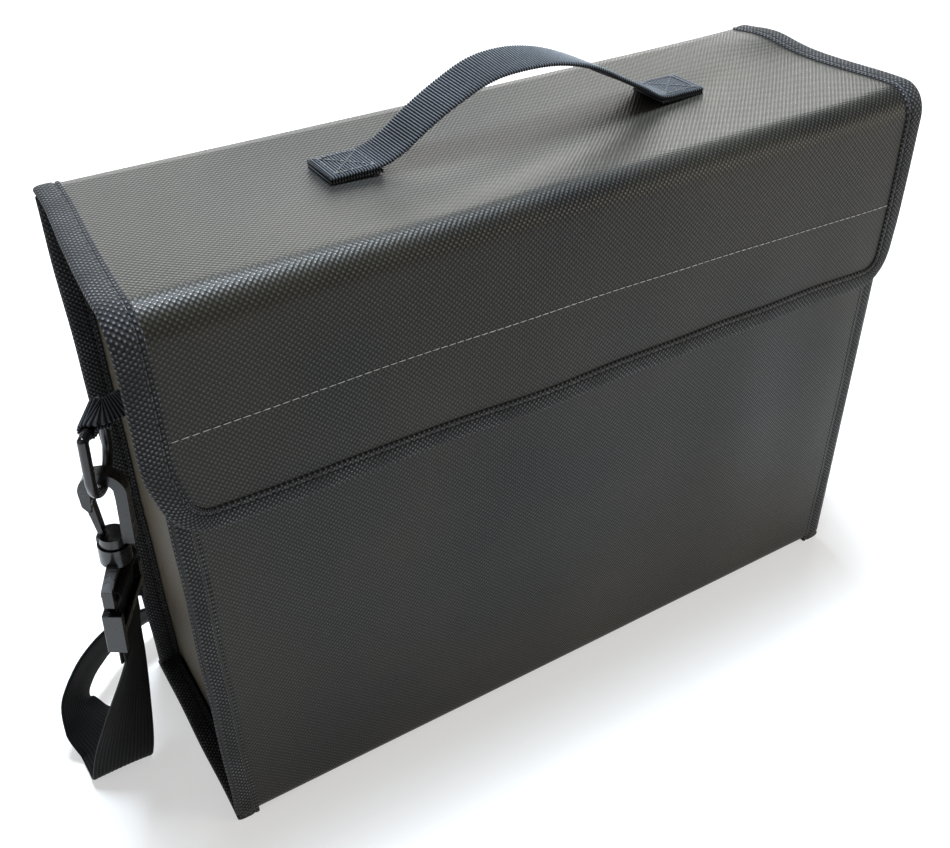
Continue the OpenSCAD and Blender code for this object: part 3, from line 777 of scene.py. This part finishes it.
def make_side(side):
    """A side panel, with its front and back edges turned outwards into the seams."""
    s = -1 if side == "left" else 1
    f, b = FRONT_Y + 3 * MM, BACK_Y - 3 * MM
    w = WALL_X - 0.8 * MM
    plan = line([(SEAM_X - 0.5 * MM, f), (w + 2 * MM, f), (w, f + 2 * MM), (w, b - 2 * MM),
                 (w + 2 * MM, b), (SEAM_X - 0.5 * MM, b)], 3 * MM)
    top = FRONT_TOP - TAPE_T + (SIDE_TOP - FRONT_TOP) * ramp(plan[:, 1], f + 2 * MM, f + 10 * MM)
    share = np.linspace(0, 1, 90)
    z = 3.4 * MM + share[:, None] * (top[None] - 3.4 * MM)
    x = np.broadcast_to(s * plan[None, :, 0], z.shape)
    y = np.broadcast_to(plan[None, :, 1], z.shape)
    grid = np.stack([x, y, z], -1)
    if s > 0:
        grid = grid[:, ::-1]
    piece = sheet(f"{side}_side_cloth", grid, CLOTH_T, SIDE_CLOTH)
    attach(piece, "bag")
    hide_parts(f"{side}_side_panel")
    inner = line([(f + 1 * MM, 0), (b - 1 * MM, 0)], 3 * MM)[:, 0]
    y = np.broadcast_to(inner[None], (90, len(inner)))
    z = 3.4 * MM + share[:, None] * (SIDE_TOP - 4.2 * MM - 3 * MM * (1 - ramp(inner, f, f + 10 * MM)))[None]
    grid = np.stack([np.full(y.shape, s * (w - 1.2 * MM)), y, z], -1)
    if s > 0:
        grid = grid[:, ::-1]
    lining = sheet(f"{side}_side_lining", grid, LINING_T, LINING)
    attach(lining, "bag")
    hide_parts(f"{side}_lining")


make_wrap()
make_lid_and_flap()
make_side("left")
make_side("right")

# ------------------------------------------------------------------ binding tape


def tape_outline(core, width=TAPE_W):
    """Section of tape folded over an edge: across runs inwards from the edge, up is its face."""
    h = core / 2 + TAPE_T
    groove = width - TAPE_ROW
    face = [
        (width, h - 0.75 * MM), (width - 0.25 * MM, h - 0.15 * MM), (width - 0.9 * MM, h + 0.12 * MM),
        (groove + 0.7 * MM, h), (groove + 0.25 * MM, h - 0.45 * MM), (groove - 0.25 * MM, h - 0.45 * MM),
        (groove - 0.8 * MM, h + 0.02 * MM), (groove - 2.2 * MM, h + 0.22 * MM), (2.6 * MM, h + 0.15 * MM),
        (0.9 * MM, h - 0.15 * MM), (-0.1 * MM, h * 0.72), (-0.7 * MM, h * 0.35),
    ]
    return np.array(face + [(-0.85 * MM, 0)] + [(a, -b) for a, b in face[::-1]])


def bind(name, centres, inwards, normals, core, nodes, body, wave=0.35 * MM, shape=settle):
    """Tape folded over an edge, and the sunk row of stitches on both of its faces."""
    centres, inwards, normals = (np.array(k, float) for k in (centres, inwards, normals))
    far = along(centres)
    slip = wave * (0.6 * np.sin(far / 0.011) + 0.4 * np.sin(far / 0.027 + 1))
    moved = centres + inwards * slip[:, None]
    outline = tape_outline(core)
    flipped = np.dot(np.cross(inwards[0], normals[0]), centres[1] - centres[0]) > 0
    tape = sweep(name, moved, inwards, normals, outline if flipped else outline[::-1], TAPE,
                 shape=shape)
    h = core / 2 + TAPE_T - 0.42 * MM
    parts = []
    for s in (1, -1):
        row = moved + inwards * (TAPE_W - TAPE_ROW) + normals * s * h
        parts.append(stitch_line(row, normals * s, 3.6 * MM))
    spots, runs, ups = joined(parts)
    rows = stitches(f"{name}_stitches", spots, runs, ups, DARK_THREAD, 2.6 * MM, 0.34 * MM, shape)
    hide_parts(*nodes)
    if body:
        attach(tape, body)
        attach(rows, body)
    return tape, rows


def straight(a, b, step=4 * MM):
    return line([a, b], step)


def same(vector, count):
    return np.broadcast_to(np.array(vector, float), (count, 3))


def make_seams():
    for side, s in (("left", -1), ("right", 1)):
        inward = (-s, 0, 0)
        for where, y, normal, top in (("front", FRONT_Y + 2.4 * MM, (0, -1, 0), FRONT_TOP),
                                      ("back", BACK_Y - 2.4 * MM, (0, 1, 0), SIDE_TOP)):
            p = straight((s * SEAM_X, y, 3 * MM), (s * SEAM_X, y, top))
            bind(f"{where}_{side}_tape", p, same(inward, len(p)), same(normal, len(p)), SEAM_CORE,
                 [f"{where}_{side}_binding"], "bag")
        p = straight((s * SEAM_X, FRONT_Y + 0.5 * MM, 2.5 * MM), (s * SEAM_X, BACK_Y - 0.5 * MM, 2.5 * MM))
        bind(f"bottom_{side}_tape", p, same(inward, len(p)), same((0, 0, -1), len(p)), SEAM_CORE,
             [f"bottom_{side}_binding"], "bag")
        p = straight((s * (WALL_X - 1.2 * MM), FRONT_Y + 13 * MM, SIDE_TOP - TAPE_T),
                     (s * (WALL_X - 1.2 * MM), BACK_Y - 3.5 * MM, SIDE_TOP - TAPE_T))
        bind(f"{side}_mouth_tape", p, same((0, 0, -1), len(p)), same((s, 0, 0), len(p)), EDGE_CORE,
             [f"{side}_mouth_binding"], "bag")
    p = straight((-WALL_X + 4 * MM, FRONT_Y + 1.2 * MM, FRONT_TOP - TAPE_T),
                 (WALL_X - 4 * MM, FRONT_Y + 1.2 * MM, FRONT_TOP - TAPE_T))
    bind("front_mouth_tape", p, same((0, 0, -1), len(p)), same((0, -1, 0), len(p)), EDGE_CORE,
         ["front_mouth_binding"], "bag")


def edge_round_lid_and_flap():
    """Centres, inward directions and normals of the tape from the lid's left rear corner,
    down the flap, along its lower edge, and back up to the lid's right rear corner."""
    d = 1.2 * MM
    y, z = FLAP_Y + d, FLAP_Z
    left = [((-SEAM_X, k[0], k[1]), (1, 0, 0), (0, 0, 1))
            for k in line([(BACK_Y - 1.5 * MM, TOP_Z - d), (BEND_Y, TOP_Z - d)])[:-1]]
    for t in np.radians(np.linspace(90, 180, 14)):
        n = (0, math.cos(t), math.sin(t))
        r = BEND_R - d
        left.append(((-SEAM_X, BEND_Y + r * n[1], BEND_Z + r * n[2]), (1, 0, 0), n))
    for k in np.arange(BEND_Z - 4 * MM, z + CORNER_R, -4 * MM):
        left.append(((-SEAM_X, y, k), (1, 0, 0), (0, -1, 0)))
    for t in np.radians(np.linspace(180, 270, 16)):
        c, s = math.cos(t), math.sin(t)
        at = (-SEAM_X + CORNER_R + CORNER_R * c, y, z + CORNER_R + CORNER_R * s)
        left.append((at, (-c, 0, -s), (0, -1, 0)))
    flat = [((k, y, z), (0, 0, 1), (0, -1, 0))
            for k in np.arange(-SEAM_X + CORNER_R + 4 * MM, 0, 4 * MM)]
    half = left + flat
    other = [((-p[0], p[1], p[2]), (-i[0], i[1], i[2]), n) for p, i, n in half[::-1]]
    whole = half + other
    return (np.array([k[j] for k in whole], float) for j in range(3))


def make_flap_tape():
    centres, inwards, normals = edge_round_lid_and_flap()
    tape, rows = bind("flap_and_lid_tape", centres, inwards, normals, EDGE_CORE,
                      ["lid_left_binding", "lid_right_binding", "flap_binding"], None, 0.25 * MM,
                      lid_shape)
    for piece in (tape, rows):
        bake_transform(piece)


make_seams()
make_flap_tape()

# ------------------------------------------------------------------ hook and loop


def pad(name, low, high, y0, y1, material, body, nodes):
    """A thin strip with soft edges, standing on a wall between depths y0 and y1."""
    cols, rows = 90, 14
    x = np.linspace(low[0], high[0], cols)
    z = np.linspace(low[2], high[2], rows)
    xx, zz = np.meshgrid(x, z)
    grid = np.stack([xx, np.full(xx.shape, (y0 + y1) / 2), zz], -1)
    piece = sheet(name, grid, abs(y1 - y0), material)
    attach(piece, body)
    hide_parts(*nodes)
    return piece


def rectangle(low, high, y, inset, normal):
    """Stitch rows round a rectangle on a wall."""
    a, b = low[0] + inset, high[0] - inset
    c, d = low[2] + inset, high[2] - inset
    corners = [(a, y, c), (b, y, c), (b, y, d), (a, y, d), (a, y, c)]
    parts = [stitch_line(straight(p, q), normal) for p, q in zip(corners, corners[1:])]
    return joined(parts)


def make_fastener():
    low, high = STRIP_LO, STRIP_HI
    pad("loop_pad", low, high, low[1], high[1], LOOP_PILE, "bag", ["loop_strip"])
    spots, runs, ups = rectangle(low, high, low[1] - 0.1 * MM, 2 * MM, (0, -1, 0))
    rows = stitches("loop_pad_stitches", spots, runs, ups, DARK_THREAD)
    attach(rows, "bag")
    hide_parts("loop_strip_stitching")
    low, high = box("hook_strip")
    pad("hook_pad", low, high, high[1], low[1], HOOK_PILE, "flap", ["hook_strip"])
    z = box("flap_stitching")[0][2] + 0.35 * MM
    x = SEAM_X - TAPE_W
    dip = lambda k: z + 2.5 * MM * np.sin((k + x) / (2 * x) * np.pi * 1.3)
    points = [(k, FLAP_Y - 0.12 * MM, dip(k)) for k in np.linspace(-x, x, 90)]
    rows = stitches("flap_row", *stitch_line(points, (0, -1, 0), 3.9 * MM), PALE_THREAD, 3.3 * MM, 0.2 * MM,
                    lid_shape)
    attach(rows, "flap")
    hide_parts("flap_stitching")


make_fastener()

# ------------------------------------------------------------------ handle


def ribbed(centres, across, width, thick, pitch, name, material, depth=0.35):
    """Webbing with real ribs across it: its thickness swells once for each rib."""
    far = along(centres)
    n = int(far[-1] / pitch * 6)
    at = np.linspace(0, far[-1], n)
    centres = np.stack([np.interp(at, far, centres[:, k]) for k in range(3)], 1)
    across = np.stack([np.interp(at, far, across[:, k]) for k in range(3)], 1)
    sides, ups = frames(centres, unit(across))
    swell = 1 + depth * (np.cos(2 * np.pi * at / pitch) - 0.4)
    edge = 1 + 0.012 * np.cos(2 * np.pi * at / pitch)
    scale = np.stack([edge, swell], 1)
    return sweep(name, centres, sides, ups, band_outline(width, thick), material, scale=scale)


def make_handle():
    """One length of webbing: a folded end, the arch, and the other folded end."""
    left, right = box("handle_left_end"), box("handle_right_end")
    y = (left[0][1] + left[1][1]) / 2
    x0, x1 = left[0][0], right[1][0]
    top = box("handle_arch")[1][2] - 1 * MM
    decks = [float(settle(np.array([x, y, TOP_Z]))[2]) + 0.2 * MM for x in (x0 + 13 * MM, x1 - 13 * MM)]
    left_deck, right_deck = decks
    rows = [
        (x0 + 0.5 * MM, 0, left_deck + 2.6 * MM, 0), (x0 + 12 * MM, 0, left_deck + 2.7 * MM, 0),
        (x0 + 25 * MM, 0, left_deck + 3.2 * MM, 0), (x0 + 36 * MM, 0, left_deck + 7 * MM, 0.02),
        (x0 + 50 * MM, 0, TOP_Z + 13 * MM, 0.05), (x0 + 66 * MM, 0, top - 8.5 * MM, 0.08),
        (x0 + 84 * MM, 0, top - 1.5 * MM, 0.12), (x0 + 103 * MM, 0, top, 0.12),
        (x0 + 122 * MM, 0, top - 2.5 * MM, 0.04), (x0 + 141 * MM, 0, top - 9 * MM, -0.04),
        (x0 + 158 * MM, 0, TOP_Z + 12 * MM, -0.06), (x0 + 171 * MM, 0, TOP_Z + 5.5 * MM, -0.03),
        (x1 - 26 * MM, 0, right_deck + 3.4 * MM, 0), (x1 - 13 * MM, 0, right_deck + 2.7 * MM, 0),
        (x1 - 0.5 * MM, 0, right_deck + 2.6 * MM, 0),
    ]
    curve = smooth_route(rows, 14)
    centres = np.stack([curve[:, 0], y + curve[:, 1] * MM, curve[:, 2]], 1)
    lean = curve[:, 3]
    across = np.stack([0 * lean, np.cos(lean), np.sin(lean)], 1)
    arch = ribbed(centres, across, HANDLE_W, 1.9 * MM, RIB, "handle_band", HANDLE_WEB)
    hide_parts("handle_left_end", "handle_right_end", "handle_arch")
    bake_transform(arch)
    parts = []
    for s, x, deck in ((1, x0, left_deck), (-1, x1, right_deck)):
        under = line([(x + s * 0.6 * MM, y, deck + 0.7 * MM), (x + s * 26 * MM, y, deck + 0.7 * MM)], 2 * MM)
        fold = ribbed(under, np.broadcast_to((0.0, 1.0, 0.0), under.shape).copy(), HANDLE_W - 0.6 * MM,
                      1.6 * MM, RIB, f"handle_fold_{'left' if s > 0 else 'right'}", HANDLE_WEB)
        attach(fold, "lid")
        a, b = x + s * 4 * MM, x + s * 23 * MM
        c, d = y - 9.5 * MM, y + 9.5 * MM
        z = deck + 3.75 * MM
        p = [(a, c, z), (b, c, z), (b, d, z), (a, d, z)]
        for i in range(4):
            parts.append(stitch_line(straight(p[i], p[(i + 1) % 4]), (0, 0, 1), 3.4 * MM))
        parts.append(stitch_line(straight(p[0], p[2]), (0, 0, 1), 3.4 * MM))
        parts.append(stitch_line(straight(p[1], p[3]), (0, 0, 1), 3.4 * MM))
    spots, runs, ups = joined(parts)
    rows = stitches("handle_cross_stitches", spots, runs, ups, DARK_THREAD, 2.9 * MM, 0.45 * MM, shape=None)
    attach(rows, "lid")
    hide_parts("handle_stitching")


make_handle()

# ------------------------------------------------------------------ tabs


def make_tab(side):
    """Webbing tab: down the side panel, out over the side and round the ring's bar."""
    y = (box("left_tab_stitching")[0][1] + box("left_tab_stitching")[1][1]) / 2
    top = box("left_ring_tab")[1][2]
    x = -WALL_X + 1.2 * MM
    shift = 2 * MM
    r = 3.55 * MM
    bend = HANG_AT[2] + 6 * MM
    panel = [(x, y, top), (x, y, bend + 15 * MM), (x, y, bend + 4 * MM), (x - 1 * MM, y, bend + 1 * MM),
             (x - 4.5 * MM, y - 1 * MM, bend - 0.6 * MM), (x - 10 * MM, y - 3 * MM, bend - 1 * MM)]
    down = [hang(5 * MM, shift, 4.2 * MM)]
    loop = [hang(r * math.cos(t), shift, r * math.sin(t)) for t in np.radians(np.linspace(95, 350, 12))]
    close = [hang(a * MM, shift, b * MM) for a, b in ((4.6, 1.6), (7.5, 2.5), (10.5, 3.0))]
    points = np.array(panel + down + loop + close)
    turn = ramp(np.arange(len(points)), 2.5, 8)[:, None]
    across = unit((1 - turn) * np.array([0, 1.0, 0]) + turn * HANG_Y)
    curve = smooth_route(np.hstack([points, across]), 8)
    centres, across = mirrored(curve[:, :3], side), mirrored(curve[:, 3:], side)
    if side == "right":
        across = -across
    tab = ribbed(centres, across, TAB_W, 1.5 * MM, RIB, f"{side}_tab_band", HANDLE_WEB)
    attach(tab, "bag")
    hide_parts(f"{side}_ring_tab")
    parts = []
    a, b = y - 7 * MM, y + 7 * MM
    c, d = bend + 8 * MM, top - 3 * MM
    at = x - 1.0 * MM
    p = mirrored([(at, a, c), (at, b, c), (at, b, d), (at, a, d)], side)
    out = (-1, 0, 0) if side == "left" else (1, 0, 0)
    for i, j in ((0, 1), (1, 2), (2, 3), (3, 0), (0, 2), (1, 3)):
        parts.append(stitch_line(straight(p[i], p[j]), out, 3.4 * MM))
    spots, runs, ups = joined(parts)
    rows = stitches(f"{side}_tab_cross", spots, runs, ups, DARK_THREAD, 2.9 * MM, 0.45 * MM, shape=None)
    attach(rows, "bag")
    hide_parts(f"{side}_tab_stitching")


for side in ("left", "right"):
    make_tab(side)

# ------------------------------------------------------------------ floor and light


def make_floor():
    mesh = bpy.data.meshes.new("floor")
    w = 20.0
    mesh.from_pydata([(-w, -w, 0), (w, -w, 0), (w, w, 0), (-w, w, 0)], [], [(0, 1, 2, 3)])
    m = Nodes("floor_paper")
    m.put(m.shader.inputs["Base Color"], rgb(0.55, 0.55, 0.55))
    m.shader.inputs["Emission Color"].default_value = (1, 1, 1, 1)
    m.shader.inputs["Emission Strength"].default_value = 0.5
    m.shader.inputs["Roughness"].default_value = 0.9
    m.shader.inputs["Specular IOR Level"].default_value = 0.1
    mesh.materials.append(m.material)
    floor = bpy.data.objects.new("floor", mesh)
    floor.location = (0, 0, -0.2 * MM)
    bpy.context.collection.objects.link(floor)


def area_light(name, at, towards, width, height, power, colour=(1, 1, 1)):
    data = bpy.data.lights.new(name, "AREA")
    data.shape = "RECTANGLE"
    data.size, data.size_y = width, height
    data.energy = power
    data.color = colour
    lamp = bpy.data.objects.new(name, data)
    lamp.location = at
    lamp.rotation_euler = (Vector(towards) - Vector(at)).to_track_quat("-Z", "Y").to_euler()
    bpy.context.collection.objects.link(lamp)


def make_light():
    world = bpy.data.worlds.new("studio")
    bpy.context.scene.world = world
    world.use_nodes = True
    sky = world.node_tree.nodes["Background"]
    sky.inputs["Color"].default_value = (1, 1, 1, 1)
    sky.inputs["Strength"].default_value = 0.15
    bpy.context.scene.view_settings.view_transform = "Standard"
    area_light("overhead", (0.03, 0.18, 1.40), (-0.1, -0.03, 0.25), 0.42, 0.36, 46, (0.80, 0.90, 1))
    area_light("back_box", (0.75, 1.35, 0.72), (0.05, 0, 0.3), 2.2, 0.7, 23, (1, 1, 0.97))
    area_light("left_fill", (-1.6, -0.3, 0.9), (0, 0, 0.1), 1.2, 1.2, 4)
    area_light("front_warm", (1.3, -1.2, 0.5), (0.15, -0.06, 0.1), 0.7, 0.7, 13, (1, 0.90, 0.75))


make_floor()
make_light()
